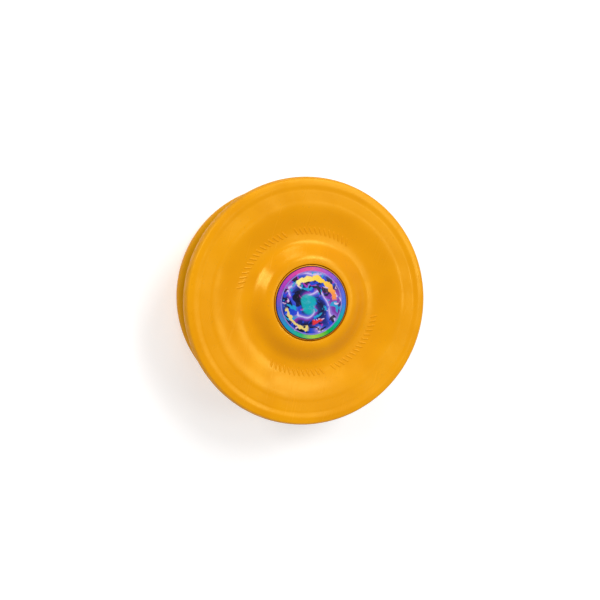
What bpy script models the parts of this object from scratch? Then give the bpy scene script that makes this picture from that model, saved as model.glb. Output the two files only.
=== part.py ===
"""A ball-bearing yo-yo with a dished face, taken apart into the pieces it is assembled from.

Metres, +Z up.  The axle lies on Z and the origin is the middle of the bearing, so the upper half
faces +Z and the lower half is its mirror image.  Every turned piece is a closed outline of
(radius, height) points spun round the axle, or an open one when it starts and ends on it.
"""
import math

import bmesh
import bpy
from mathutils import Matrix, Vector

MM = 0.001

# Overall size.
RIM_RADIUS = 28.5 * MM          # widest circle of each half
RIM_HEIGHT = 10.0 * MM          # height of that circle above the middle of the yo-yo
FACE_HEIGHT = 12.4 * MM         # flat land on the lip, which the yo-yo lies on
TURN_STEPS = 48                 # facets round a half
SMALL_STEPS = 32                # facets round a small piece

# Face of a half, from the hub outwards.
BOSS_RADIUS = 9.6 * MM
BOSS_HEIGHT = 12.2 * MM
VALLEY_START = 14.6 * MM
VALLEY_END = 15.2 * MM
VALLEY_HEIGHT = 10.2 * MM
FLANGE_START = 23.2 * MM
FLANGE_HEIGHT = 11.8 * MM
FLANGE_RISE = 0.35 * MM         # how much the flange climbs on its way out
FLANGE_END = 25.0 * MM
LAND_INNER = 26.8 * MM
LAND_OUTER = 27.6 * MM

# String side of a half.
GAP_HALF = 2.35 * MM            # from the middle to the flat part of the string wall
GAP_FLAT_RADIUS = 12.6 * MM
FLANK_HEIGHT = 9.0 * MM
GROOVE_INNER = 7.9 * MM         # groove that holds the response ring
GROOVE_OUTER = 10.3 * MM
GROOVE_FLOOR = 3.5 * MM
RECESS_RADIUS = 6.9 * MM        # clearance round the bearing's outer race
RECESS_HEIGHT = 2.75 * MM
RESPONSE_PROUD = 0.1 * MM       # how far the response ring stands out of its wall
RESPONSE_CHAMFER = 0.3 * MM
POCKET_CHAMFER = 0.1 * MM
CUTTER_MARGIN = 1.0 * MM        # how far a cutter runs past the face it opens

# Hub, from the bearing outwards.
SEAT_BODY_RADIUS = 5.2 * MM
SEAT_TOP = 5.6 * MM
NUT_FLOOR = 6.8 * MM
NUT_THICKNESS = 2.7 * MM
NUT_ACROSS_FLATS = 7.0 * MM
AXLE_RADIUS = 2.0 * MM
AXLE_HALF_LENGTH = 10.2 * MM
AXLE_CHAMFER = 0.4 * MM
COLLAR_POCKET_RADIUS = 6.5 * MM
COLLAR_POCKET_FLOOR = 9.7 * MM
COLLAR_THICKNESS = 1.2 * MM
CAP_POCKET_RADIUS = 8.8 * MM
CAP_POCKET_FLOOR = 10.7 * MM
CAP_RADIUS = 8.6 * MM
CAP_TOP = 12.0 * MM
LABEL_RADIUS = 8.4 * MM
LABEL_THICKNESS = 0.15 * MM

# Bearing, 6.35 x 12.7 x 4.76 mm.
BORE_RADIUS = 3.175 * MM
OUTER_RADIUS = 6.35 * MM
BEARING_HALF_WIDTH = 2.38 * MM
PITCH_RADIUS = 4.7625 * MM
BALL_RADIUS = 0.79 * MM
BALL_COUNT = 10
TRACK_RADIUS = 0.87 * MM
INNER_LAND_RADIUS = 4.2 * MM
OUTER_LAND_RADIUS = 5.32 * MM
SHIELD_STEP_RADIUS = 5.8 * MM
SHIELD_STEP_HEIGHT = 1.6 * MM
SHIELD_THICKNESS = 0.2 * MM
SNAP_RING_THICKNESS = 0.25 * MM
SNAP_RING_WIDTH = 0.45 * MM
SNAP_RING_SPLIT = 0.6 * MM
CAGE_BAND = 0.32 * MM
CAGE_TOP = 1.3 * MM
CAGE_BOTTOM = -0.45 * MM

RUNNING_GAP = 0.1 * MM          # between pieces that touch or run past each other
PRESS_GAP = 0.15 * MM           # between a piece and the moulded pocket that holds it
STACK_GAP = 0.05 * MM           # between thin pieces stacked on each other

SIDES = (("upper", 1.0), ("lower", -1.0))


def clear_scene():
    for old in list(bpy.data.objects):
        bpy.data.objects.remove(old, do_unlink=True)


def principled(name, colour, roughness, metallic=0.0):
    """A Principled material of one colour."""
    material = bpy.data.materials.new(name)
    material.use_nodes = True
    shader = material.node_tree.nodes["Principled BSDF"]
    shader.inputs["Base Color"].default_value = (*colour, 1.0)
    shader.inputs["Roughness"].default_value = roughness
    shader.inputs["Metallic"].default_value = metallic
    return material


def arc(centre, radii, start, end, steps):
    """Points on an elliptical arc, angles in degrees from +radius towards +height."""
    points = []
    for step in range(steps + 1):
        angle = math.radians(start + (end - start) * step / steps)
        points.append((centre[0] + radii[0] * math.cos(angle),
                       centre[1] + radii[1] * math.sin(angle)))
    return points


def eased(start, end, steps):
    """Points from start to end on a half wave, level at both ends."""
    points = []
    for step in range(steps + 1):
        share = step / steps
        rise = 0.5 - 0.5 * math.cos(math.pi * share)
        points.append((start[0] + (end[0] - start[0]) * share,
                       start[1] + (end[1] - start[1]) * rise))
    return points


def add_mesh(name, bm, material, parent=None):
    """Turns a bmesh into a named, smooth-shaded object with outward faces."""
    bmesh.ops.remove_doubles(bm, verts=bm.verts, dist=1e-7)
    bmesh.ops.recalc_face_normals(bm, faces=bm.faces)
    mesh = bpy.data.meshes.new(name)
    bm.to_mesh(mesh)
    bm.free()
    mesh.shade_smooth()
    mesh.set_sharp_from_angle(angle=math.radians(35))
    mesh.materials.append(material)
    thing = bpy.data.objects.new(name, mesh)
    bpy.context.collection.objects.link(thing)
    thing.parent = parent
    return thing


def turned(name, outline, material, side=1.0, steps=SMALL_STEPS, parent=None):
    """Spins a (radius, height) outline round Z; side -1 turns it upside down.

    An outline that starts and ends on the axle makes a piece with no bore; any other is closed.
    """
    bm = bmesh.new()
    verts = [bm.verts.new((radius, 0.0, height * side)) for radius, height in outline]
    edges = [bm.edges.new(pair) for pair in zip(verts, verts[1:])]
    has_bore = outline[0][0] > 0.0
    if has_bore:
        edges.append(bm.edges.new((verts[-1], verts[0])))
    bmesh.ops.spin(bm, geom=verts + edges, axis=(0, 0, 1), cent=(0, 0, 0),
                   angle=2 * math.pi, steps=steps, use_merge=True)
    return add_mesh(name, bm, material, parent)


def cut(thing, cutter):
    """Subtracts a hidden cutter from an object."""
    cutter.hide_render = True
    cutter.display_type = "WIRE"
    boolean = thing.modifiers.new("cut_" + cutter.name, "BOOLEAN")
    boolean.operation = "DIFFERENCE"
    boolean.solver = "EXACT"
    boolean.object = cutter


def hex_prism(name, across_flats, bottom, top, material, side):
    """A hexagonal bar on Z."""
    bm = bmesh.new()
    radius = across_flats / math.sqrt(3.0)
    bmesh.ops.create_cone(bm, cap_ends=True, segments=6, radius1=radius, radius2=radius,
                          depth=top - bottom)
    bmesh.ops.translate(bm, verts=bm.verts, vec=(0, 0, side * (top + bottom) / 2))
    return add_mesh(name, bm, material)


def half_outline():
    """Outline of the upper half, from the axle bore up the hub, over the face and back."""
    bore = AXLE_RADIUS + PRESS_GAP
    hub = [
        (bore, SEAT_TOP + PRESS_GAP),
        (bore, COLLAR_POCKET_FLOOR),
        (COLLAR_POCKET_RADIUS, COLLAR_POCKET_FLOOR),
        (COLLAR_POCKET_RADIUS, CAP_POCKET_FLOOR),
        (CAP_POCKET_RADIUS, CAP_POCKET_FLOOR),
        (CAP_POCKET_RADIUS, BOSS_HEIGHT - POCKET_CHAMFER),
        (CAP_POCKET_RADIUS + POCKET_CHAMFER, BOSS_HEIGHT),
    ]
    face = (eased((BOSS_RADIUS, BOSS_HEIGHT), (VALLEY_START, VALLEY_HEIGHT), 5)
            + eased((VALLEY_END, VALLEY_HEIGHT), (FLANGE_START, FLANGE_HEIGHT), 4)
            + eased((FLANGE_END, FLANGE_HEIGHT + FLANGE_RISE), (LAND_INNER, FACE_HEIGHT), 3))
    lip = arc((LAND_OUTER, RIM_HEIGHT), (RIM_RADIUS - LAND_OUTER, FACE_HEIGHT - RIM_HEIGHT),
              90, 0, 4)
    flank = arc((GAP_FLAT_RADIUS, FLANK_HEIGHT),
                (RIM_RADIUS - GAP_FLAT_RADIUS, FLANK_HEIGHT - GAP_HALF), 0, -90, 6)
    string_wall = [
        (GROOVE_OUTER, GAP_HALF),
        (GROOVE_OUTER, GROOVE_FLOOR),
        (GROOVE_INNER, GROOVE_FLOOR),
        (GROOVE_INNER, GAP_HALF),
        (RECESS_RADIUS, GAP_HALF),
        (RECESS_RADIUS, RECESS_HEIGHT),
        (SEAT_BODY_RADIUS + PRESS_GAP, RECESS_HEIGHT),
        (SEAT_BODY_RADIUS + PRESS_GAP, SEAT_TOP + PRESS_GAP),
    ]
    return hub + face + lip + flank + string_wall


def make_halves(material):
    """Both halves are the same turned moulding with a hexagonal pocket for the axle nut."""
    for label, side in SIDES:
        half = turned("half_" + label, half_outline(), material, side, TURN_STEPS)
        pocket = hex_prism("nut_pocket_" + label, NUT_ACROSS_FLATS + 2 * PRESS_GAP,
                           NUT_FLOOR, COLLAR_POCKET_FLOOR + CUTTER_MARGIN, material, side)
        cut(half, pocket)


def make_hub_caps(cap_material, label_material):
    """A snap-in cap closes each hub and carries a round printed label in a shallow recess."""
    collar_outer = COLLAR_POCKET_RADIUS - PRESS_GAP
    collar_inner = collar_outer - COLLAR_THICKNESS
    cap = [
        (0.0, CAP_POCKET_FLOOR + PRESS_GAP),
        (collar_inner, CAP_POCKET_FLOOR + PRESS_GAP),
        (collar_inner, COLLAR_POCKET_FLOOR + PRESS_GAP),
        (collar_outer, COLLAR_POCKET_FLOOR + PRESS_GAP),
        (collar_outer, CAP_POCKET_FLOOR + PRESS_GAP),
        (CAP_RADIUS, CAP_POCKET_FLOOR + PRESS_GAP),
        (CAP_RADIUS, CAP_TOP),
        (0.0, CAP_TOP),
    ]
    label_bottom = CAP_TOP + STACK_GAP
    label_top = label_bottom + LABEL_THICKNESS
    sheet = [(0.0, label_bottom), (LABEL_RADIUS, label_bottom),
             (LABEL_RADIUS, label_top), (0.0, label_top)]
    for label, side in SIDES:
        turned("hub_cap_" + label, cap, cap_material, side)
        turned("label_" + label, sheet, label_material, side)


def make_axle(material):
    """A threaded stud with chamfered ends; its thread is not cut in these solids."""
    outline = [
        (0.0, -AXLE_HALF_LENGTH),
        (AXLE_RADIUS - AXLE_CHAMFER, -AXLE_HALF_LENGTH),
        (AXLE_RADIUS, -AXLE_HALF_LENGTH + AXLE_CHAMFER),
        (AXLE_RADIUS, AXLE_HALF_LENGTH - AXLE_CHAMFER),
        (AXLE_RADIUS - AXLE_CHAMFER, AXLE_HALF_LENGTH),
        (0.0, AXLE_HALF_LENGTH),
    ]
    turned("axle_stud", outline, material, steps=24)


def make_nuts(material):
    """A hexagonal nut in each half grips the stud."""
    bottom = NUT_FLOOR + RUNNING_GAP
    for label, side in SIDES:
        nut = hex_prism("axle_nut_" + label, NUT_ACROSS_FLATS, bottom,
                        bottom + NUT_THICKNESS, material, side)
        bm = bmesh.new()
        bore = AXLE_RADIUS + RUNNING_GAP
        bmesh.ops.create_cone(bm, cap_ends=True, segments=24, radius1=bore, radius2=bore,
                              depth=NUT_THICKNESS + 2 * CUTTER_MARGIN)
        bmesh.ops.translate(bm, verts=bm.verts, vec=(0, 0, side * (bottom + NUT_THICKNESS / 2)))
        cut(nut, add_mesh("nut_bore_" + label, bm, material))


def make_seats(material):
    """A turned spacer in each half centres the bearing and clamps only its inner race."""
    bore = AXLE_RADIUS + RUNNING_GAP
    shank = BORE_RADIUS - RUNNING_GAP
    shoulder = BEARING_HALF_WIDTH + RUNNING_GAP
    outline = [
        (bore, RUNNING_GAP),
        (shank, RUNNING_GAP),
        (shank, shoulder),
        (INNER_LAND_RADIUS, shoulder),
        (INNER_LAND_RADIUS, RECESS_HEIGHT + PRESS_GAP),
        (SEAT_BODY_RADIUS, RECESS_HEIGHT + PRESS_GAP),
        (SEAT_BODY_RADIUS, SEAT_TOP),
        (bore, SEAT_TOP),
    ]
    for label, side in SIDES:
        turned("bearing_seat_" + label, outline, material, side)


def make_response_rings(material):
    """A rubber ring stands just proud of each string wall, where the string grips."""
    inner = GROOVE_INNER + PRESS_GAP
    outer = GROOVE_OUTER - PRESS_GAP
    proud = GAP_HALF - RESPONSE_PROUD
    outline = [
        (inner, GROOVE_FLOOR - PRESS_GAP),
        (inner, proud + RESPONSE_CHAMFER),
        (inner + RESPONSE_CHAMFER, proud),
        (outer - RESPONSE_CHAMFER, proud),
        (outer, proud + RESPONSE_CHAMFER),
        (outer, GROOVE_FLOOR - PRESS_GAP),
    ]
    for label, side in SIDES:
        turned("response_ring_" + label, outline, material, side)


def make_races(material, body):
    """Inner and outer race, each with a round track that the balls roll in."""
    reach = math.degrees(math.acos((PITCH_RADIUS - INNER_LAND_RADIUS) / TRACK_RADIUS))
    inner_track = arc((PITCH_RADIUS, 0), (TRACK_RADIUS, TRACK_RADIUS), 180 + reach, 180 - reach, 6)
    inner = ([(BORE_RADIUS, BEARING_HALF_WIDTH), (BORE_RADIUS, -BEARING_HALF_WIDTH),
              (INNER_LAND_RADIUS, -BEARING_HALF_WIDTH)]
             + inner_track + [(INNER_LAND_RADIUS, BEARING_HALF_WIDTH)])
    turned("bearing_inner_race", inner, material)

    reach = math.degrees(math.acos((OUTER_LAND_RADIUS - PITCH_RADIUS) / TRACK_RADIUS))
    outer_track = arc((PITCH_RADIUS, 0), (TRACK_RADIUS, TRACK_RADIUS), reach, -reach, 6)
    outer = ([(OUTER_RADIUS, -BEARING_HALF_WIDTH), (OUTER_RADIUS, BEARING_HALF_WIDTH),
              (SHIELD_STEP_RADIUS, BEARING_HALF_WIDTH),
              (SHIELD_STEP_RADIUS, SHIELD_STEP_HEIGHT),
              (OUTER_LAND_RADIUS, SHIELD_STEP_HEIGHT)]
             + outer_track
             + [(OUTER_LAND_RADIUS, -SHIELD_STEP_HEIGHT),
                (SHIELD_STEP_RADIUS, -SHIELD_STEP_HEIGHT),
                (SHIELD_STEP_RADIUS, -BEARING_HALF_WIDTH)])
    turned("bearing_outer_race", outer, material, parent=body)


def make_shields(shield_material, ring_material, body):
    """A thin shield closes each side of the bearing and a snap ring holds it in."""
    shield_bottom = SHIELD_STEP_HEIGHT + RUNNING_GAP
    shield_top = shield_bottom + SHIELD_THICKNESS
    shield_outer = SHIELD_STEP_RADIUS - RUNNING_GAP
    shield_inner = INNER_LAND_RADIUS + PRESS_GAP
    shield = [(shield_inner, shield_bottom), (shield_outer, shield_bottom),
              (shield_outer, shield_top), (shield_inner, shield_top)]
    ring_bottom = shield_top + STACK_GAP
    ring_top = ring_bottom + SNAP_RING_THICKNESS
    ring_inner = shield_outer - SNAP_RING_WIDTH
    ring = [(ring_inner, ring_bottom), (shield_outer, ring_bottom),
            (shield_outer, ring_top), (ring_inner, ring_top)]
    for label, side in SIDES:
        turned("bearing_shield_" + label, shield, shield_material, side, parent=body)
        snap = turned("shield_snap_ring_" + label, ring, ring_material, side, parent=body)
        bm = bmesh.new()
        bmesh.ops.create_cube(bm, size=SNAP_RING_SPLIT)
        bmesh.ops.scale(bm, verts=bm.verts, vec=(2.0, 1.0, 2.0))
        bmesh.ops.translate(bm, verts=bm.verts, vec=(ring_inner, 0.0, side * ring_bottom))
        cut(snap, add_mesh("snap_ring_split_" + label, bm, ring_material))


def ball_centres():
    """Centres of the balls, evenly spaced on the pitch circle."""
    start = Vector((PITCH_RADIUS, 0, 0))
    return [Matrix.Rotation(2 * math.pi * (index + 0.5) / BALL_COUNT, 3, "Z") @ start
            for index in range(BALL_COUNT)]


def ball_mesh(radius, around, along, centres):
    """A bmesh with one sphere at each centre."""
    bm = bmesh.new()
    for centre in centres:
        bmesh.ops.create_uvsphere(bm, u_segments=around, v_segments=along, radius=radius,
                                  matrix=Matrix.Translation(centre))
    return bm


def make_balls_and_cage(ball_material, cage_material, body):
    """The balls share one mesh; a ring-shaped cage with round pockets spaces them out."""
    centres = ball_centres()
    first = add_mesh("bearing_ball_01", ball_mesh(BALL_RADIUS, 8, 6, [Vector()]),
                     ball_material, body)
    first.location = centres[0]
    for number, centre in enumerate(centres[1:], start=2):
        ball = bpy.data.objects.new(f"bearing_ball_{number:02d}", first.data)
        bpy.context.collection.objects.link(ball)
        ball.parent = body
        ball.location = centre
    inner, outer = PITCH_RADIUS - CAGE_BAND, PITCH_RADIUS + CAGE_BAND
    outline = [(inner, CAGE_BOTTOM), (outer, CAGE_BOTTOM), (outer, CAGE_TOP), (inner, CAGE_TOP)]
    cage = turned("bearing_cage", outline, cage_material, parent=body)
    pockets = ball_mesh(BALL_RADIUS + RUNNING_GAP, 10, 7, centres)
    cut(cage, add_mesh("ball_pockets", pockets, cage_material))


def pivot(name):
    """An empty on the axle that carries one turning body of the bearing."""
    empty = bpy.data.objects.new(name, None)
    bpy.context.collection.objects.link(empty)
    return empty


def main():
    clear_scene()
    orange = principled("orange_plastic", (0.84, 0.34, 0.0), 0.32)
    print_stock = principled("label_print", (0.12, 0.16, 0.42), 0.25)
    steel = principled("axle_steel", (0.55, 0.56, 0.58), 0.35, 1.0)
    bearing_steel = principled("bearing_steel", (0.72, 0.73, 0.75), 0.2, 1.0)
    aluminium = principled("seat_aluminium", (0.8, 0.81, 0.82), 0.3, 1.0)
    brass = principled("cage_brass", (0.8, 0.6, 0.25), 0.35, 1.0)
    rubber = principled("response_rubber", (0.04, 0.04, 0.045), 0.8)

    outer_body = pivot("outer_race_pivot")
    cage_body = pivot("cage_pivot")
    make_halves(orange)
    make_hub_caps(orange, print_stock)
    make_axle(steel)
    make_nuts(steel)
    make_seats(aluminium)
    make_response_rings(rubber)
    make_races(bearing_steel, outer_body)
    make_shields(bearing_steel, steel, outer_body)
    make_balls_and_cage(bearing_steel, brass, cage_body)


main()
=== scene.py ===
"""The looks of the ball-bearing yo-yo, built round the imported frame.

Metres, +Z up, axle on Z.  Every turned piece is made again from its outline with fine steps,
rounded edges and the details that the solids leave out, and stands for its node in the frame.
"""
import math

import bmesh
import bpy
from mathutils import Matrix, Vector


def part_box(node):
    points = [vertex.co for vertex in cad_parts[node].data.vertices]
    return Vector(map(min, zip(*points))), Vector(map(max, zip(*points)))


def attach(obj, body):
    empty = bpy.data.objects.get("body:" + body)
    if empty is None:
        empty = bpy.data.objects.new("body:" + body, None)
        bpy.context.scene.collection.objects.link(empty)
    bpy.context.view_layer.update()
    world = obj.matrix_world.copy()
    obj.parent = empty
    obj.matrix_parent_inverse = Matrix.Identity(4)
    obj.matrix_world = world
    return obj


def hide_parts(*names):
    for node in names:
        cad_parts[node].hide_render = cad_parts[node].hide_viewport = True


MM = 0.001
TAU = 2.0 * math.pi
BODY, RACE, CAGE = "yoyo_body", "outer_race", "ball_cage"
SIDES = (("upper", 1.0), ("lower", -1.0))

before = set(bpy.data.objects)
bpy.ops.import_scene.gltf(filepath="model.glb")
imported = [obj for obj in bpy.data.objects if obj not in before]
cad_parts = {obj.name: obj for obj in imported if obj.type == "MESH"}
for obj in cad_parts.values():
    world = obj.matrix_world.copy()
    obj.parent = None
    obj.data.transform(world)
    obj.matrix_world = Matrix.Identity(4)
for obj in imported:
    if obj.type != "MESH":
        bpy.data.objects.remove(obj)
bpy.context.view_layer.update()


def top_and_radius(node):
    """Highest point and largest radius of an upper node."""
    low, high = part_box(node)
    return high[2], high[0]


FACE_HEIGHT, RIM_RADIUS = top_and_radius("half_upper")
LABEL_TOP, LABEL_RADIUS = top_and_radius("label_upper")
CAP_TOP, CAP_RADIUS = top_and_radius("hub_cap_upper")
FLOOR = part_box("half_lower")[0][2]

# Moulded half: the same driving sizes as the solids have, here and down to the gaps.
RIM_HEIGHT = 10.0 * MM
BOSS_RADIUS, BOSS_HEIGHT = 9.6 * MM, 12.2 * MM
VALLEY_START, VALLEY_END, VALLEY_HEIGHT = 14.6 * MM, 15.2 * MM, 10.2 * MM
FLANGE_START, FLANGE_HEIGHT, FLANGE_END = 23.2 * MM, 11.8 * MM, 25.0 * MM
FLANGE_RISE, LAND_INNER, LAND_OUTER = 0.35 * MM, 26.8 * MM, 27.6 * MM
GAP_HALF, GAP_FLAT_RADIUS, FLANK_HEIGHT = 2.35 * MM, 12.6 * MM, 9.0 * MM
GROOVE_INNER, GROOVE_OUTER, GROOVE_FLOOR = 7.9 * MM, 10.3 * MM, 3.5 * MM
RECESS_RADIUS, RECESS_HEIGHT = 6.9 * MM, 2.75 * MM
RESPONSE_PROUD = 0.1 * MM      # how far the response ring stands out of its wall

# Hub.
SEAT_BODY_RADIUS, SEAT_TOP = 5.2 * MM, 5.6 * MM
NUT_FLOOR, NUT_THICKNESS, NUT_ACROSS_FLATS = 6.8 * MM, 2.7 * MM, 7.0 * MM
AXLE_RADIUS, AXLE_HALF_LENGTH, THREAD_PITCH = 2.0 * MM, 10.2 * MM, 0.7 * MM
COLLAR_POCKET_RADIUS, COLLAR_POCKET_FLOOR = 6.5 * MM, 9.7 * MM
COLLAR_THICKNESS, LABEL_THICKNESS = 1.2 * MM, 0.15 * MM
CAP_POCKET_RADIUS, CAP_POCKET_FLOOR = 8.8 * MM, 10.7 * MM

# Bearing.
BORE_RADIUS, OUTER_RADIUS, BEARING_HALF_WIDTH = 3.175 * MM, 6.35 * MM, 2.38 * MM
PITCH_RADIUS, BALL_RADIUS, BALL_COUNT = 4.7625 * MM, 0.79 * MM, 10
TRACK_RADIUS, INNER_LAND_RADIUS, OUTER_LAND_RADIUS = 0.87 * MM, 4.2 * MM, 5.32 * MM
SHIELD_STEP_RADIUS, SHIELD_STEP_HEIGHT, SHIELD_THICKNESS = 5.8 * MM, 1.6 * MM, 0.2 * MM
SNAP_RING_THICKNESS, SNAP_RING_WIDTH = 0.25 * MM, 0.45 * MM
CAGE_BAND, CAGE_TOP, CAGE_BOTTOM = 0.32 * MM, 1.3 * MM, -0.45 * MM

# Gaps between neighbours.
RUNNING_GAP, PRESS_GAP, STACK_GAP = 0.1 * MM, 0.15 * MM, 0.05 * MM

# Rounded edges, chamfers and the thread, which the solids have plainer or not at all.
POCKET_ROUNDING, WALL_ROUNDING = 0.1 * MM, 0.12 * MM
CAP_ROUNDING, LABEL_ROUNDING = 0.15 * MM, 0.06 * MM
SEAT_ROUNDING, RESPONSE_ROUNDING = 0.15 * MM, 0.3 * MM
INNER_RACE_ROUNDING, OUTER_RACE_ROUNDING = 0.12 * MM, 0.18 * MM
SHIELD_ROUNDING, SNAP_RING_ROUNDING, CAGE_ROUNDING = 0.07 * MM, 0.08 * MM, 0.08 * MM
THREAD_DEPTH = 0.55 * THREAD_PITCH
STUD_CHAMFER, NUT_CHAMFER, NUT_BORE_CHAMFER = 0.5 * MM, 0.55 * MM, 0.3 * MM
SNAP_RING_OPENING = 0.06       # radians each side of +X

# Raised marks on the face: equal slanted bars on one ring, in two long and two short rows.
# Lengths in metres, angles in degrees, rows in bars.
MARK_RING_RADIUS = 16.4 * MM
MARK_LENGTH, MARK_WIDTH, MARK_RISE = 1.8 * MM, 0.44 * MM, 0.10 * MM
MARK_SLANT, MARK_PITCH = 28.0, 4.0
LONG_ROW, LONG_ROW_ANGLE = 15, 155.5
SHORT_ROW, SHORT_ROW_ANGLE = 12, 95.5
# A bar's flank from its foot, sunk in the face, to its crown: share of width, share of rise.
MARK_FLANK = ((1.3, -0.5), (1.0, 0.1), (0.75, 0.62), (0.5, 0.92), (0.2, 1.0))
MARK_CORNERS = 24

LABEL_TURN = 16.0              # degrees by which the print on both labels is turned askew

# Steps round the axle.
HALF_STEPS, CAP_STEPS, RING_STEPS, SMALL_STEPS = 288, 192, 160, 128
NUT_STEPS, SNAP_RING_STEPS, STUD_STEPS = 96, 110, 48

# Tolerances of the shape helpers.
TINY = 1e-9                    # shorter lengths count as none
MERGE_DISTANCE = 1e-8
SHARP_TURN = 25.0              # degrees; gentler corners of an outline are left alone
CORNER_SHARE = 0.45            # most of an edge that the rounding at one end may take

# View and light.
TILT, ROLL = 16.5, 16.0        # degrees
CAMERA_DISTANCE = 0.137
FRAME_WIDTH = 0.1366           # width of the picture at the distance of VIEW_CENTRE
VIEW_CENTRE = (-0.0025, -0.0001, 0.011)
SENSOR_WIDTH = 36.0
CLIP_START = 0.005
FLOOR_REACH = 1.5              # from the middle of the floor to each side
FLOOR_GLOW = 0.26
FLOOR_GAP = 0.02 * MM          # keeps the floor clear of the lip that stands on it
WORLD_STRENGTH = 0.48
# Name, place (right, up and towards the camera in the picture), width and height, watts.
LIGHTS = (
    ("key", (-0.17, 0.14, 0.36), (0.12, 0.12), 0.42),
    ("softbox", (0.24, 0.18, 0.33), (0.14, 0.16), 0.72),
    ("right", (0.29, 0.0, 0.33), (0.10, 0.12), 0.18),
    ("top", (0.06, 0.34, 0.32), (0.16, 0.12), 0.22),
)


# --- Node helpers ------------------------------------------------------------------------------

class Nodes:
    """Short calls for building one material's node tree."""

    def __init__(self, name):
        self.material = bpy.data.materials.new(name)
        self.material.use_nodes = True
        self.tree = self.material.node_tree
        self.shader = self.tree.nodes["Principled BSDF"]
        self.position = self.node("ShaderNodeTexCoord").outputs["Object"]

    def node(self, kind, **settings):
        """Adds a node and sets its properties."""
        made = self.tree.nodes.new(kind)
        for key, value in settings.items():
            setattr(made, key, value)
        return made

    def link(self, value, socket):
        """Links an output to a socket, or writes a plain number or colour into it."""
        if isinstance(value, bpy.types.NodeSocket):
            self.tree.links.new(value, socket)
        else:
            socket.default_value = value

    def math(self, operation, a, b=0.0):
        """One step of arithmetic on numbers or outputs."""
        made = self.node("ShaderNodeMath", operation=operation)
        self.link(a, made.inputs[0])
        self.link(b, made.inputs[1])
        return made.outputs[0]

    def plus(self, a, b):
        """a + b."""
        return self.math("ADD", a, b)

    def times(self, a, b):
        """a * b."""
        return self.math("MULTIPLY", a, b)

    def axes(self):
        """X, Y and Z of the point, in metres."""
        split = self.node("ShaderNodeSeparateXYZ")
        self.link(self.position, split.inputs[0])
        return split.outputs[0], split.outputs[1], split.outputs[2]

    def polar(self):
        """Radius from the axle in metres and angle from +X in turns, 0 to 1."""
        x, y, _ = self.axes()
        radius = self.math("SQRT", self.plus(self.times(x, x), self.times(y, y)))
        turns = self.math("FRACT", self.math("DIVIDE", self.math("ARCTAN2", y, x), TAU))
        return radius, turns

    def noise(self, scale, detail=3.0, vector=None, roughness=0.5, distortion=0.0):
        """Smooth noise, mostly between 0.3 and 0.7."""
        made = self.node("ShaderNodeTexNoise")
        self.link(vector or self.position, made.inputs["Vector"])
        made.inputs["Scale"].default_value = scale
        made.inputs["Detail"].default_value = detail
        made.inputs["Roughness"].default_value = roughness
        made.inputs["Distortion"].default_value = distortion
        return made.outputs["Fac"]

    def hairlines(self, angle, fine, coarse):
        """Straight scratches across the surface, at one angle in radians."""
        made = self.node("ShaderNodeMapping")
        made.inputs["Scale"].default_value = (fine, coarse, coarse)
        made.inputs["Rotation"].default_value = (0.0, 0.0, angle)
        self.link(self.position, made.inputs["Vector"])
        return self.noise(1.0, 2.0, made.outputs[0])

    def spread(self, value, low, high, to_low=0.0, to_high=1.0, smooth=True):
        """Maps low..high to to_low..to_high and holds it there outside."""
        made = self.node("ShaderNodeMapRange",
                         interpolation_type="SMOOTHSTEP" if smooth else "LINEAR")
        for number, socket in zip((value, low, high, to_low, to_high), made.inputs):
            self.link(number, socket)
        return made.outputs[0]

    def band(self, value, low, high, soft):
        """1 between low and high, falling to 0 over soft on both sides."""
        return self.times(self.spread(value, low - soft, low),
                          self.spread(value, high + soft, high))

    def sector(self, turns, centre, half, soft):
        """1 up to half each side of a centre angle, falling to 0 over soft, all in turns."""
        offset = self.plus(self.math("SUBTRACT", turns, centre), 1.5)
        away = self.math("ABSOLUTE", self.math("SUBTRACT", self.math("FRACT", offset), 0.5))
        return self.spread(away, half + soft, half)

    def blend(self, share, first, second):
        """Mixes two colours: 0 gives the first, 1 the second."""
        made = self.node("ShaderNodeMix", data_type="RGBA")
        self.link(share, made.inputs[0])
        self.link(first, made.inputs[6])
        self.link(second, made.inputs[7])
        return made.outputs[2]

    def tint(self, mask, strength, colour, paint):
        """Lays a paint over a colour where a mask is, at a strength."""
        return self.blend(self.times(mask, strength), colour, (*paint, 1))

    def ramp(self, value, stops, mode="EASE"):
        """Colours a value from 0 to 1 by stops of (place, colour)."""
        made = self.node("ShaderNodeValToRGB")
        made.color_ramp.interpolation = mode
        elements = made.color_ramp.elements
        while len(elements) < len(stops):
            elements.new(0.5)
        for element, (place, colour) in zip(elements, stops):
            element.position = place
            element.color = (*colour, 1.0)
        self.link(value, made.inputs[0])
        return made.outputs[0]

    def bump(self, height, strength, distance, onto=None):
        """Relief from a height, laid on another relief where one is given."""
        made = self.node("ShaderNodeBump")
        made.inputs["Strength"].default_value = strength
        made.inputs["Distance"].default_value = distance
        self.link(height, made.inputs["Height"])
        if onto is not None:
            self.link(onto, made.inputs["Normal"])
        return made.outputs[0]

    def finish(self, colour, roughness, normal, **constants):
        """Feeds the shader and gives back the material."""
        self.link(colour, self.shader.inputs["Base Color"])
        self.link(roughness, self.shader.inputs["Roughness"])
        self.link(normal, self.shader.inputs["Normal"])
        for name, value in constants.items():
            self.shader.inputs[name.replace("_", " ")].default_value = value
        return self.material


# --- Materials ---------------------------------------------------------------------------------

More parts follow.
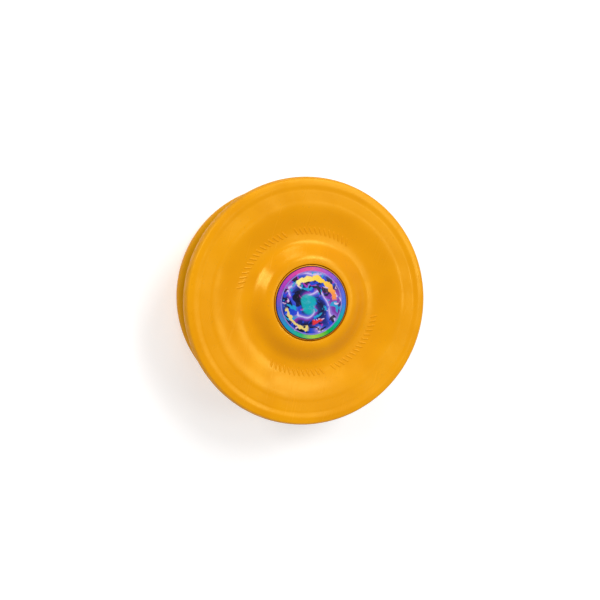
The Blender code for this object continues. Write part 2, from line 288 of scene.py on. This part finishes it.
def amber_plastic():
    """Glossy amber moulding: cloudy colour, a lip lighter from wear and a painted highlight,
    dust, and painted shade on the rim's edge and the flanks.
    """
    n = Nodes("amber_plastic")
    radius, _ = n.polar()
    scuffs = plastic_scuffs(n)
    # Lighter towards the lip: partly rubbed wear, partly a painted highlight along the lip's
    # bright line.
    rub_and_sheen = n.times(n.spread(radius, RIM_RADIUS * 0.935, RIM_RADIUS),
                  n.spread(n.noise(700.0, 5.0), 0.42, 0.62, 0.3, 0.8))
    # Painted shade on the rim's edge and in the string gap, laid into colour, roughness and
    # gloss.
    shade = flank_shade(n, radius)

    cloud = n.spread(n.noise(90.0, 4.0, roughness=0.6), 0.35, 0.65)
    flow = n.spread(n.noise(38.0, 2.0, distortion=1.5), 0.42, 0.62)
    specks = n.spread(n.noise(2600.0, 1.0), 0.70, 0.74)
    colour = n.blend(cloud, (0.765, 0.290, 0.0, 1), (0.80, 0.308, 0.0, 1))
    for mask, strength, paint in ((flow, 0.35, (0.88, 0.365, 0.0)),
                                  (rub_and_sheen, 0.30, (0.92, 0.44, 0.0)),
                                  (specks, 0.25, (0.40, 0.20, 0.02)),
                                  (shade, 0.62, (0.25, 0.125, 0.0))):
        colour = n.tint(mask, strength, colour, paint)

    rough = n.spread(n.noise(60.0, 3.0), 0.3, 0.7, 0.18, 0.30)
    for mask, amount in ((scuffs, 0.16), (rub_and_sheen, 0.18), (shade, 0.35)):
        rough = n.plus(rough, n.times(mask, amount))
    n.link(n.spread(shade, 0.0, 0.45, 0.6, 0.05), n.shader.inputs["Specular IOR Level"])

    peel = n.bump(n.noise(420.0, 2.0), 0.10, 0.2 * MM)
    waves = n.bump(n.noise(95.0, 1.0), 0.45, 0.7 * MM, peel)
    scratched = n.bump(scuffs, 0.12, 0.04 * MM, waves)
    return n.finish(colour, rough, scratched, Specular_Tint=(1.0, 0.82, 0.20, 1.0))


def plastic_scuffs(n):
    """Patches of crossing hairline scratches."""
    lines = n.math("MAXIMUM", n.hairlines(0.5, 2600.0, 60.0), n.hairlines(-0.9, 2200.0, 50.0))
    return n.times(n.spread(lines, 0.62, 0.72), n.spread(n.noise(140.0), 0.4, 0.6))


def flank_shade(n, radius):
    """Painted shade: mottled on the edge of the rim, full in the string gap, none on the face.
    """
    height = n.math("ABSOLUTE", n.axes()[2])
    turned_away = n.spread(radius, LAND_OUTER, RIM_RADIUS * 0.995)
    mottle = n.spread(n.noise(700.0, 4.0), 0.35, 0.65, 0.42, 0.56)
    in_gap = n.spread(height, RIM_HEIGHT, RIM_HEIGHT / 2)
    return n.math("MAXIMUM", n.times(turned_away, mottle), in_gap)


def label_material():
    """A printed round label: an abstract blue whirl in a rainbow border, dotted by the press."""
    n = Nodes("label_print")
    radius, turns = n.polar()
    turns = n.math("FRACT", n.plus(turns, 1.0 - LABEL_TURN / 360.0))
    share = n.math("DIVIDE", radius, LABEL_RADIUS)
    picture = label_accents(n, share, turns, label_whirl(n, share, turns))
    colour = n.blend(n.spread(share, 0.865, 0.88), picture, label_border(n, turns))
    # Painted shade: a near-black ring round the label's edge stands for the shadow line at its
    # rim.
    colour = n.blend(n.spread(share, 0.965, 0.985), colour, (0.01, 0.012, 0.05, 1))

    dots = n.node("ShaderNodeTexVoronoi")
    n.link(n.position, dots.inputs["Vector"])
    dots.inputs["Scale"].default_value = 3500.0
    screen = n.spread(dots.outputs["Distance"], 0.15, 0.45, 0.76, 0.98)
    printed = n.node("ShaderNodeVectorMath", operation="SCALE")
    n.link(colour, printed.inputs[0])
    n.link(screen, printed.inputs["Scale"])
    rough = n.spread(n.noise(500.0, 3.0), 0.35, 0.65, 0.16, 0.30)
    ripple = n.bump(n.noise(220.0, 2.0), 0.15, 0.1 * MM)
    return n.finish(printed.outputs[0], rough, ripple, Specular_IOR_Level=0.15)


def label_border(n, turns):
    """A rainbow that runs once round and meets itself."""
    return n.ramp(turns, (
        (0.00, (0.05, 0.16, 0.72)), (0.10, (0.10, 0.06, 0.56)), (0.17, (0.34, 0.05, 0.52)),
        (0.25, (0.76, 0.10, 0.26)), (0.33, (0.66, 0.05, 0.33)), (0.42, (0.38, 0.04, 0.46)),
        (0.52, (0.08, 0.10, 0.56)), (0.62, (0.01, 0.30, 0.52)), (0.70, (0.02, 0.45, 0.16)),
        (0.76, (0.40, 0.62, 0.05)), (0.84, (0.00, 0.42, 0.04)), (0.92, (0.00, 0.42, 0.36)),
        (1.00, (0.05, 0.16, 0.72))), "LINEAR")


def label_whirl(n, share, turns):
    """Two spiral arms with soft blobs of colour and a teal core."""
    warp = n.noise(240.0, 0.0, distortion=0.3)
    spiral = n.plus(n.times(share, 1.5), n.times(warp, 1.3))
    arms = n.math("FRACT", n.plus(n.times(turns, 2.0), spiral))
    whirl = n.ramp(arms, (
        (0.00, (0.004, 0.006, 0.05)), (0.20, (0.01, 0.02, 0.20)), (0.34, (0.04, 0.08, 0.55)),
        (0.42, (0.22, 0.16, 0.66)), (0.50, (0.58, 0.52, 0.82)), (0.58, (0.26, 0.15, 0.62)),
        (0.68, (0.20, 0.03, 0.36)), (0.82, (0.01, 0.02, 0.16)), (1.00, (0.004, 0.006, 0.05))))
    for scale, level, blob in ((330.0, 0.54, (0.01, 0.06, 0.62)),
                               (390.0, 0.60, (0.42, 0.03, 0.45)),
                               (440.0, 0.60, (0.01, 0.33, 0.62)),
                               (520.0, 0.63, (0.75, 0.50, 0.74)),
                               (360.0, 0.58, (0.002, 0.002, 0.012))):
        patch = n.spread(n.noise(scale, 2.0, distortion=0.7), level, level + 0.03)
        whirl = n.tint(patch, 0.92, whirl, blob)
    core = n.spread(n.plus(share, n.times(warp, 0.9)), 0.66, 0.56)
    return n.tint(core, 0.9, whirl, (0.0, 0.40, 0.45))


def label_accents(n, share, turns, picture):
    """A warm ragged arc, a red touch, a pale streak and a thin ring inside the border."""
    flicker = n.times(n.math("SUBTRACT", n.noise(900.0, 2.0), 0.5), 0.22)
    ragged = n.plus(share, flicker)
    warm = n.ramp(n.spread(turns, 0.03, 0.35, smooth=False), (
        (0.0, (0.90, 0.26, 0.06)), (0.5, (0.95, 0.62, 0.05)), (1.0, (0.93, 0.80, 0.25))))
    for low, high, centre, half, paint in ((0.60, 0.72, 0.19, 0.16, warm),
                                           (0.50, 0.58, 0.80, 0.03, (0.75, 0.03, 0.04, 1)),
                                           (0.68, 0.75, 0.63, 0.09, (0.80, 0.62, 0.18, 1))):
        touch = n.times(n.band(ragged, low, high, 0.02), n.sector(turns, centre, half, 0.02))
        picture = n.blend(touch, picture, paint)
    return n.blend(n.band(share, 0.84, 0.86, 0.01), picture, (0.25, 0.20, 0.60, 1))


def metal(name, colour, rough, lines, tarnish=(0.30, 0.28, 0.26)):
    """Turned or ground metal: fine rings round the axle and small stains.

    rough is the least and the most roughness, and lines is how fine the rings are.
    """
    n = Nodes(name)
    radius, turns = n.polar()
    join = n.node("ShaderNodeCombineXYZ")
    n.link(n.times(radius, lines), join.inputs[0])
    n.link(n.times(n.axes()[2], lines), join.inputs[1])
    n.link(n.times(turns, 3.0), join.inputs[2])
    rings = n.noise(1.0, 3.0, join.outputs[0])
    stain = n.spread(n.noise(420.0, 4.0), 0.52, 0.75)
    tinted = n.tint(stain, 0.30, (*colour, 1), tarnish)
    roughness = n.plus(n.spread(rings, 0.3, 0.7, *rough), n.times(stain, 0.10))
    return n.finish(tinted, roughness, n.bump(rings, 0.12, 0.02 * MM), Metallic=1.0)


def rubber():
    """Matte black rubber with a fine grain and pale dust from the string."""
    n = Nodes("response_rubber")
    grain = n.noise(2200.0, 4.0)
    lint = n.spread(n.noise(900.0, 5.0, roughness=0.7), 0.55, 0.72)
    colour = n.tint(lint, 0.35, (0.022, 0.022, 0.024, 1), (0.22, 0.20, 0.18))
    rough = n.spread(grain, 0.3, 0.7, 0.62, 0.85)
    return n.finish(colour, rough, n.bump(grain, 0.35, 0.06 * MM))


def floor_paper():
    """Pale paper with a slight texture that glows a little, like a light table."""
    n = Nodes("studio_floor")
    colour = n.blend(n.noise(25.0, 3.0), (0.93, 0.93, 0.93, 1), (0.95, 0.95, 0.95, 1))
    grain = n.bump(n.noise(1500.0, 3.0), 0.05, 0.1 * MM)
    return n.finish(colour, 0.75, grain, Emission_Color=(1, 1, 1, 1),
                    Emission_Strength=FLOOR_GLOW)


# --- Shape helpers -----------------------------------------------------------------------------

def arc(centre, radii, start, end, steps):
    """Points on an elliptical arc, angles in degrees from +radius towards +height."""
    points = []
    for step in range(steps + 1):
        angle = math.radians(start + (end - start) * step / steps)
        points.append((centre[0] + radii[0] * math.cos(angle),
                       centre[1] + radii[1] * math.sin(angle)))
    return points


def half_wave(share):
    """0 to 1 as share goes from 0 to 1, level at both ends."""
    return 0.5 - 0.5 * math.cos(math.pi * share)


def eased(start, end, steps):
    """Points from start to end on a half wave."""
    points = []
    for step in range(steps + 1):
        share = step / steps
        points.append((start[0] + (end[0] - start[0]) * share,
                       start[1] + (end[1] - start[1]) * half_wave(share)))
    return points


def softened(outline, radius, closed=True, steps=3):
    """Rounds every sharp corner of an outline by up to a radius."""
    points = [Vector(point) for point in outline]
    count = len(points)
    made = []
    for index, here in enumerate(points):
        back = points[index - 1] - here
        ahead = points[(index + 1) % count] - here
        is_end = not closed and index in (0, count - 1)
        if is_end or not is_sharp(back, ahead):
            made.append(tuple(here))
            continue
        reach = min(radius, back.length * CORNER_SHARE, ahead.length * CORNER_SHARE)
        first, last = here + back.normalized() * reach, here + ahead.normalized() * reach
        for step in range(steps + 1):
            t = step / steps
            spot = first * (1 - t) ** 2 + here * 2 * t * (1 - t) + last * t * t
            made.append(tuple(spot))
    return made


def is_sharp(back, ahead):
    """Whether the outline turns sharply between the edges back and ahead of a point."""
    if min(back.length, ahead.length) < TINY:
        return False
    return math.pi - back.angle(ahead) >= math.radians(SHARP_TURN)


def add_piece(name, bm, material, body, nodes=(), sharp=30):
    """Turns a bmesh into a smooth-shaded piece that rides on a body and stands for nodes."""
    bmesh.ops.remove_doubles(bm, verts=bm.verts, dist=MERGE_DISTANCE)
    bmesh.ops.recalc_face_normals(bm, faces=bm.faces)
    mesh = bpy.data.meshes.new(name)
    bm.to_mesh(mesh)
    bm.free()
    mesh.shade_smooth()
    mesh.set_sharp_from_angle(angle=math.radians(sharp))
    mesh.materials.append(material)
    piece = bpy.data.objects.new(name, mesh)
    bpy.context.collection.objects.link(piece)
    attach(piece, body)
    if nodes:
        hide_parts(*nodes)
    return piece


def turned_bmesh(outline, side, steps, closed=True, shape=None):
    """Spins an outline of (radius, height) points round Z; side -1 turns it upside down.

    An outline that starts and ends on the axle is not closed.  shape(radius, height, angle)
    may change a point's radius.
    """
    bm = bmesh.new()
    rows = []
    for radius, height in outline:
        if radius < TINY:
            rows.append([bm.verts.new((0.0, 0.0, height * side))] * steps)
            continue
        row = []
        for step in range(steps):
            angle = TAU * step / steps
            reach = shape(radius, height, angle) if shape else radius
            row.append(bm.verts.new((reach * math.cos(angle), reach * math.sin(angle),
                                     height * side)))
        rows.append(row)
    if closed:
        rows.append(rows[0])
    for lower, upper in zip(rows, rows[1:]):
        for step in range(steps):
            following = (step + 1) % steps
            corners = [lower[step], lower[following], upper[following], upper[step]]
            unique = list(dict.fromkeys(corners))
            if len(unique) > 2:
                bm.faces.new(unique)
    return bm


def join_rows(bm, rows):
    """Closes a tube: joins each ring of points to the next and fills both ends."""
    for first, second in zip(rows, rows[1:]):
        for index in range(len(first)):
            following = (index + 1) % len(first)
            bm.faces.new((first[index], first[following], second[following], second[index]))
    bm.faces.new(rows[0])
    bm.faces.new(reversed(rows[-1]))


def hex_radius(across_flats, angle):
    """Distance from the centre to a hexagon's side at an angle; a corner lies on +X."""
    sixth = TAU / 6
    return across_flats / 2 / math.cos((angle % sixth) - sixth / 2)


# --- Pieces ------------------------------------------------------------------------------------

def half_outline():
    """Outline of the upper half, from the axle bore up the hub, over the face and back."""
    bore = AXLE_RADIUS + PRESS_GAP
    nut_pocket = NUT_ACROSS_FLATS / 2 + PRESS_GAP
    hub = softened([
        (bore, SEAT_TOP + PRESS_GAP),
        (bore, NUT_FLOOR),
        (nut_pocket, NUT_FLOOR),
        (nut_pocket, COLLAR_POCKET_FLOOR),
        (COLLAR_POCKET_RADIUS, COLLAR_POCKET_FLOOR),
        (COLLAR_POCKET_RADIUS, CAP_POCKET_FLOOR),
        (CAP_POCKET_RADIUS, CAP_POCKET_FLOOR),
        (CAP_POCKET_RADIUS, BOSS_HEIGHT),
        (BOSS_RADIUS, BOSS_HEIGHT),
    ], POCKET_ROUNDING, closed=False)
    face = (eased((BOSS_RADIUS, BOSS_HEIGHT), (VALLEY_START, VALLEY_HEIGHT), 20)[1:]
            + eased((VALLEY_END, VALLEY_HEIGHT), (FLANGE_START, FLANGE_HEIGHT), 18)
            + eased((FLANGE_END, FLANGE_HEIGHT + FLANGE_RISE), (LAND_INNER, FACE_HEIGHT), 12))
    lip = arc((LAND_OUTER, RIM_HEIGHT), (RIM_RADIUS - LAND_OUTER, FACE_HEIGHT - RIM_HEIGHT),
              90, 0, 12)
    flank = arc((GAP_FLAT_RADIUS, FLANK_HEIGHT),
                (RIM_RADIUS - GAP_FLAT_RADIUS, FLANK_HEIGHT - GAP_HALF), 0, -90, 24)
    string_wall = softened([
        (GAP_FLAT_RADIUS, GAP_HALF),
        (GROOVE_OUTER, GAP_HALF),
        (GROOVE_OUTER, GROOVE_FLOOR),
        (GROOVE_INNER, GROOVE_FLOOR),
        (GROOVE_INNER, GAP_HALF),
        (RECESS_RADIUS, GAP_HALF),
        (RECESS_RADIUS, RECESS_HEIGHT),
        (SEAT_BODY_RADIUS + PRESS_GAP, RECESS_HEIGHT),
        (SEAT_BODY_RADIUS + PRESS_GAP, SEAT_TOP + PRESS_GAP),
        (bore, SEAT_TOP + PRESS_GAP),
    ], WALL_ROUNDING, closed=False)[1:-1]
    return hub + face + lip + flank + string_wall


def half_shape(radius, height, angle):
    """Makes the nut pocket six-sided and leaves everything else round."""
    near, margin = 0.12 * MM, 0.001 * MM
    beside_wall = abs(radius - (NUT_ACROSS_FLATS / 2 + PRESS_GAP)) < near
    if beside_wall and NUT_FLOOR - margin <= height <= COLLAR_POCKET_FLOOR + margin:
        return hex_radius(2 * radius, angle)
    return radius


def make_halves(material):
    """The two mouldings, each with the raised marks on its face."""
    for label, side in SIDES:
        bm = turned_bmesh(half_outline(), side, HALF_STEPS, shape=half_shape)
        add_piece("moulded_half_" + label, bm, material, BODY,
                  ["half_" + label])
        make_marks("face_marks_" + label, side, material)


def face_height(radius):
    """Height of the face at a radius in the valley or on the walls beside it."""
    if radius <= VALLEY_START:
        fall = half_wave((radius - BOSS_RADIUS) / (VALLEY_START - BOSS_RADIUS))
        return BOSS_HEIGHT + (VALLEY_HEIGHT - BOSS_HEIGHT) * fall
    if radius <= VALLEY_END:
        return VALLEY_HEIGHT
    rise = half_wave(min(1.0, (radius - VALLEY_END) / (FLANGE_START - VALLEY_END)))
    return VALLEY_HEIGHT + (FLANGE_HEIGHT - VALLEY_HEIGHT) * rise


def add_mark(bm, angle, side):
    """Adds one raised bar with round ends and sloping flanks, slanted off the radius."""
    radial = Vector((math.cos(angle), math.sin(angle), 0))
    sideways = Vector((-math.sin(angle), math.cos(angle), 0))
    lean = Matrix.Rotation(math.radians(MARK_SLANT * side), 3, "Z")
    along, across = lean @ radial, lean @ sideways
    straight = (MARK_LENGTH - MARK_WIDTH) / 2
    rows = []
    for share, rise in MARK_FLANK:
        row = []
        for corner in range(MARK_CORNERS):
            turn = TAU * (corner + 0.5) / MARK_CORNERS
            reach = share * MARK_WIDTH / 2
            out = math.copysign(straight, math.sin(turn)) + reach * math.sin(turn)
            spot = radial * MARK_RING_RADIUS + along * out + across * reach * math.cos(turn)
            height = face_height(spot.length) + rise * MARK_RISE
            row.append(bm.verts.new((spot.x, spot.y, side * height)))
        rows.append(row)
    join_rows(bm, rows)


def make_marks(name, side, material):
    """Two long and two short rows of bars, opposite each other."""
    bm = bmesh.new()
    for count, middle in ((LONG_ROW, LONG_ROW_ANGLE), (SHORT_ROW, SHORT_ROW_ANGLE)):
        for turn in (0.0, 180.0):
            for index in range(count):
                degrees = middle + turn + (index - (count - 1) / 2) * MARK_PITCH
                add_mark(bm, math.radians(degrees * side), side)
    add_piece(name, bm, material, BODY, sharp=60)


def make_hub_caps(material, label_print):
    """Snap-in caps with a collar, and the labels that lie on them."""
    bottom = CAP_POCKET_FLOOR + PRESS_GAP
    collar_bottom = COLLAR_POCKET_FLOOR + PRESS_GAP
    outer = COLLAR_POCKET_RADIUS - PRESS_GAP
    inner = outer - COLLAR_THICKNESS
    cap = softened([
        (0.0, bottom), (inner, bottom), (inner, collar_bottom), (outer, collar_bottom),
        (outer, bottom), (CAP_RADIUS, bottom), (CAP_RADIUS, CAP_TOP), (0.0, CAP_TOP),
    ], CAP_ROUNDING, closed=False, steps=4)
    underside = LABEL_TOP - LABEL_THICKNESS
    flat_radius = LABEL_RADIUS * 0.6    # keeps the shading of the rounded edge off the middle
    label = softened([
        (0.0, underside), (LABEL_RADIUS, underside), (LABEL_RADIUS, LABEL_TOP),
        (flat_radius, LABEL_TOP), (0.0, LABEL_TOP),
    ], LABEL_ROUNDING, closed=False, steps=4)
    for side_name, side in SIDES:
        add_piece("snap_cap_" + side_name, turned_bmesh(cap, side, CAP_STEPS, closed=False),
                  material, BODY, ["hub_cap_" + side_name])
        add_piece("round_label_" + side_name, turned_bmesh(label, side, CAP_STEPS, closed=False),
                  label_print, BODY, ["label_" + side_name])


def make_axle(material):
    """The stud with a rolled thread from end to end."""
    rows_per_turn = 8
    count = int(2 * AXLE_HALF_LENGTH / THREAD_PITCH * rows_per_turn)
    outline = [(0.0, -AXLE_HALF_LENGTH)]
    outline += [(AXLE_RADIUS, -AXLE_HALF_LENGTH + 2 * AXLE_HALF_LENGTH * row / count)
                for row in range(count + 1)]
    outline.append((0.0, AXLE_HALF_LENGTH))
    bm = turned_bmesh(outline, 1.0, STUD_STEPS, closed=False, shape=thread_shape)
    add_piece("threaded_stud", bm, material, BODY, ["axle_stud"], sharp=40)


def thread_shape(radius, height, angle):
    """Cuts a V groove with narrow flats at crest and root, and chamfers the stud's ends."""
    steepness, crest = 1.25, 0.15
    phase = (height / THREAD_PITCH - angle / TAU) % 1.0
    flank = steepness * (1 - abs(2 * phase - 1)) - crest
    groove = THREAD_DEPTH * min(1.0, max(0.0, flank))
    end = max(0.0, abs(height) - (AXLE_HALF_LENGTH - STUD_CHAMFER))
    return min(radius - groove, radius - end)


def make_nuts(material):
    """Hexagonal nuts, their corners chamfered at both ends."""
    bottom = NUT_FLOOR + RUNNING_GAP
    top = bottom + NUT_THICKNESS
    bore = AXLE_RADIUS + RUNNING_GAP
    flat = NUT_ACROSS_FLATS / 2
    corner = flat * 1.155 + 0.02 * MM   # just past the hexagon's corners
    cone_slope, cone_end = 1.7, flat * 0.93

    def shape(radius, height, angle):
        if radius < flat * 0.9:
            return radius
        into_chamfer = max(0.0, NUT_CHAMFER - min(height - bottom, top - height))
        cone = corner - into_chamfer * cone_slope
        return min(hex_radius(NUT_ACROSS_FLATS, angle), max(cone, cone_end))

    levels = [0.0, 0.3, 0.6, 1.0]       # shares of the chamfer's height
    outline = [(bore, bottom + NUT_BORE_CHAMFER), (bore + NUT_BORE_CHAMFER, bottom)]
    outline += [(flat, bottom + NUT_CHAMFER * level) for level in levels]
    outline += [(flat, top - NUT_CHAMFER * level) for level in reversed(levels)]
    outline += [(bore + NUT_BORE_CHAMFER, top), (bore, top - NUT_BORE_CHAMFER)]
    for label, side in SIDES:
        add_piece("hex_nut_" + label, turned_bmesh(outline, side, NUT_STEPS, shape=shape),
                  material, BODY, ["axle_nut_" + label])


def make_seats(material):
    """Stepped spacers that hold the bearing between the halves."""
    shoulder = BEARING_HALF_WIDTH + RUNNING_GAP
    bore = AXLE_RADIUS + RUNNING_GAP
    spigot = BORE_RADIUS - RUNNING_GAP
    flange = RECESS_HEIGHT + PRESS_GAP
    outline = softened([
        (bore, RUNNING_GAP), (spigot, RUNNING_GAP), (spigot, shoulder),
        (INNER_LAND_RADIUS, shoulder), (INNER_LAND_RADIUS, flange),
        (SEAT_BODY_RADIUS, flange), (SEAT_BODY_RADIUS, SEAT_TOP), (bore, SEAT_TOP),
    ], SEAT_ROUNDING)
    for label, side in SIDES:
        add_piece("turned_seat_" + label, turned_bmesh(outline, side, SMALL_STEPS), material,
                  BODY, ["bearing_seat_" + label])


def make_response_rings(material):
    """Rubber rings that stand a little out of the grooves in the string walls."""
    inner, outer = GROOVE_INNER + PRESS_GAP, GROOVE_OUTER - PRESS_GAP
    proud, back = GAP_HALF - RESPONSE_PROUD, GROOVE_FLOOR - PRESS_GAP
    outline = softened([(inner, back), (inner, proud), (outer, proud), (outer, back)],
                       RESPONSE_ROUNDING, steps=6)
    for label, side in SIDES:
        add_piece("rubber_ring_" + label, turned_bmesh(outline, side, RING_STEPS), material,
                  BODY, ["response_ring_" + label])


def make_races(material):
    """The two races, each with a round track for the balls."""
    half, step = BEARING_HALF_WIDTH, SHIELD_STEP_HEIGHT
    reach = math.degrees(math.acos((PITCH_RADIUS - INNER_LAND_RADIUS) / TRACK_RADIUS))
    track = arc((PITCH_RADIUS, 0), (TRACK_RADIUS, TRACK_RADIUS), 180 + reach, 180 - reach, 14)
    inner = [(BORE_RADIUS, half), (BORE_RADIUS, -half), (INNER_LAND_RADIUS, -half)]
    inner = softened(inner + track + [(INNER_LAND_RADIUS, half)], INNER_RACE_ROUNDING)
    add_piece("inner_race", turned_bmesh(inner, 1.0, SMALL_STEPS), material, BODY,
              ["bearing_inner_race"])

    reach = math.degrees(math.acos((OUTER_LAND_RADIUS - PITCH_RADIUS) / TRACK_RADIUS))
    track = arc((PITCH_RADIUS, 0), (TRACK_RADIUS, TRACK_RADIUS), reach, -reach, 14)
    above = [(OUTER_RADIUS, -half), (OUTER_RADIUS, half), (SHIELD_STEP_RADIUS, half),
             (SHIELD_STEP_RADIUS, step), (OUTER_LAND_RADIUS, step)]
    below = [(OUTER_LAND_RADIUS, -step), (SHIELD_STEP_RADIUS, -step),
             (SHIELD_STEP_RADIUS, -half)]
    outer = softened(above + track + below, OUTER_RACE_ROUNDING)
    add_piece("outer_race_ring", turned_bmesh(outer, 1.0, RING_STEPS), material, RACE,
              ["bearing_outer_race"])


def make_shields(shield_material, ring_material):
    """Flat shields, and the split snap rings that hold them in the outer race."""
    bottom = SHIELD_STEP_HEIGHT + RUNNING_GAP
    top = bottom + SHIELD_THICKNESS
    outer = SHIELD_STEP_RADIUS - RUNNING_GAP
    inner = INNER_LAND_RADIUS + PRESS_GAP
    shield = softened([(inner, bottom), (outer, bottom), (outer, top), (inner, top)],
                      SHIELD_ROUNDING)
    ring_bottom = top + STACK_GAP
    ring_top = ring_bottom + SNAP_RING_THICKNESS
    ring_inner = outer - SNAP_RING_WIDTH
    section = softened([(ring_inner, ring_bottom), (outer, ring_bottom), (outer, ring_top),
                        (ring_inner, ring_top)], SNAP_RING_ROUNDING)
    for label, side in SIDES:
        add_piece("shield_" + label, turned_bmesh(shield, side, SMALL_STEPS), shield_material,
                  RACE, ["bearing_shield_" + label])
        add_piece("snap_ring_" + label, split_ring(section, side), ring_material, RACE,
                  ["shield_snap_ring_" + label])


def split_ring(section, side):
    """A ring of one section that is open at +X."""
    bm = bmesh.new()
    rows = []
    for step in range(SNAP_RING_STEPS + 1):
        share = step / SNAP_RING_STEPS
        angle = SNAP_RING_OPENING + (TAU - 2 * SNAP_RING_OPENING) * share
        rows.append([bm.verts.new((radius * math.cos(angle), radius * math.sin(angle),
                                   height * side)) for radius, height in section])
    join_rows(bm, rows)
    return bm


def ball_places():
    """The matrix that moves a sphere to each ball's place on the pitch circle."""
    start = Vector((PITCH_RADIUS, 0, 0))
    turns = [TAU * (index + 0.5) / BALL_COUNT for index in range(BALL_COUNT)]
    return [Matrix.Translation(Matrix.Rotation(turn, 3, "Z") @ start) for turn in turns]


def make_balls(material):
    """The balls, each its own piece."""
    for number, place in enumerate(ball_places(), start=1):
        bm = bmesh.new()
        bmesh.ops.create_uvsphere(bm, u_segments=40, v_segments=24, radius=BALL_RADIUS,
                                  matrix=place)
        add_piece(f"ball_{number:02d}", bm, material, CAGE,
                  [f"bearing_ball_{number:02d}"])


def make_cage(material):
    """A band on the pitch circle with a round pocket for each ball."""
    inner, outer = PITCH_RADIUS - CAGE_BAND, PITCH_RADIUS + CAGE_BAND
    outline = softened([(inner, CAGE_BOTTOM), (outer, CAGE_BOTTOM), (outer, CAGE_TOP),
                        (inner, CAGE_TOP)], CAGE_ROUNDING)
    cage = add_piece("pocket_cage", turned_bmesh(outline, 1.0, RING_STEPS), material, CAGE,
                     ["bearing_cage"])
    pockets = ball_pockets()
    boolean = cage.modifiers.new("pockets", "BOOLEAN")
    boolean.operation = "DIFFERENCE"
    boolean.object = pockets
    depsgraph = bpy.context.evaluated_depsgraph_get()
    pocketed = bpy.data.meshes.new_from_object(cage.evaluated_get(depsgraph))
    cage.modifiers.remove(boolean)
    cage.data = pocketed
    bpy.data.objects.remove(pockets, do_unlink=True)


def ball_pockets():
    """The cutter for the cage: one sphere per ball with running room, in one object."""
    bm = bmesh.new()
    for place in ball_places():
        bmesh.ops.create_uvsphere(bm, u_segments=32, v_segments=20,
                                  radius=BALL_RADIUS + RUNNING_GAP, matrix=place)
    mesh = bpy.data.meshes.new("pockets")
    bm.to_mesh(mesh)
    bm.free()
    pockets = bpy.data.objects.new("pockets", mesh)
    bpy.context.collection.objects.link(pockets)
    return pockets


# --- Studio ------------------------------------------------------------------------------------

def make_floor(material):
    """A flat sheet under the lower lip."""
    bm = bmesh.new()
    bmesh.ops.create_grid(bm, x_segments=1, y_segments=1, size=FLOOR_REACH)
    mesh = bpy.data.meshes.new("studio_floor")
    bm.to_mesh(mesh)
    bm.free()
    mesh.materials.append(material)
    floor = bpy.data.objects.new("studio_floor", mesh)
    floor.location.z = FLOOR - FLOOR_GAP
    bpy.context.collection.objects.link(floor)


def make_camera():
    """Looks down on the face, tilted off the axle so the far half shows on the left.

    Gives back the picture's right, its up and the direction towards the camera.
    """
    tilt, roll = math.radians(TILT), math.radians(ROLL)
    backward = Vector((-math.sin(tilt), 0, math.cos(tilt)))
    right = Vector((math.cos(tilt), 0, math.sin(tilt)))
    right = Matrix.Rotation(roll, 3, backward) @ right
    up = backward.cross(right)
    camera = bpy.data.objects.new("camera", bpy.data.cameras.new("camera"))
    camera.matrix_world = Matrix((
        (right.x, up.x, backward.x, 0), (right.y, up.y, backward.y, 0),
        (right.z, up.z, backward.z, 0), (0, 0, 0, 1)))
    camera.matrix_world.translation = Vector(VIEW_CENTRE) + backward * CAMERA_DISTANCE
    camera.data.sensor_width = SENSOR_WIDTH
    camera.data.lens = SENSOR_WIDTH * CAMERA_DISTANCE / FRAME_WIDTH
    camera.data.clip_start = CLIP_START
    bpy.context.collection.objects.link(camera)
    bpy.context.scene.camera = camera
    return right, up, backward


def add_light(name, place, size, power):
    """A rectangular soft light aimed at the yo-yo."""
    data = bpy.data.lights.new(name, "AREA")
    data.shape = "RECTANGLE"
    data.size, data.size_y = size
    data.energy = power
    light = bpy.data.objects.new(name, data)
    light.location = place
    light.rotation_euler = (-place).to_track_quat("-Z", "Y").to_euler()
    bpy.context.collection.objects.link(light)


def make_lights(right, up, backward):
    """Soft studio lights, placed by the picture's own directions, in an even white world."""
    for name, (x, y, z), size, power in LIGHTS:
        add_light(name, right * x + up * y + backward * z, size, power)
    world = bpy.data.worlds.new("studio")
    world.use_nodes = True
    background = world.node_tree.nodes["Background"]
    background.inputs["Color"].default_value = (1.0, 1.0, 1.0, 1.0)
    background.inputs["Strength"].default_value = WORLD_STRENGTH
    bpy.context.scene.world = world


def main():
    """Builds every piece and the studio."""
    amber = amber_plastic()
    steel = metal("zinc_steel", (0.56, 0.57, 0.58), rough=(0.24, 0.42), lines=5200.0)
    bearing_steel = metal("bearing_steel", (0.72, 0.73, 0.74), rough=(0.10, 0.22), lines=9000.0)
    aluminium = metal("seat_aluminium", (0.80, 0.81, 0.82), rough=(0.20, 0.36), lines=7000.0)
    brass = metal("cage_brass", (0.80, 0.58, 0.26), rough=(0.25, 0.42), lines=4000.0,
                  tarnish=(0.35, 0.22, 0.08))
    make_halves(amber)
    make_hub_caps(amber, label_material())
    make_axle(steel)
    make_nuts(steel)
    make_seats(aluminium)
    make_response_rings(rubber())
    make_races(bearing_steel)
    make_shields(bearing_steel, steel)
    make_balls(bearing_steel)
    make_cage(brass)
    make_floor(floor_paper())
    make_lights(*make_camera())
    bpy.context.scene.view_settings.view_transform = "Standard"


main()
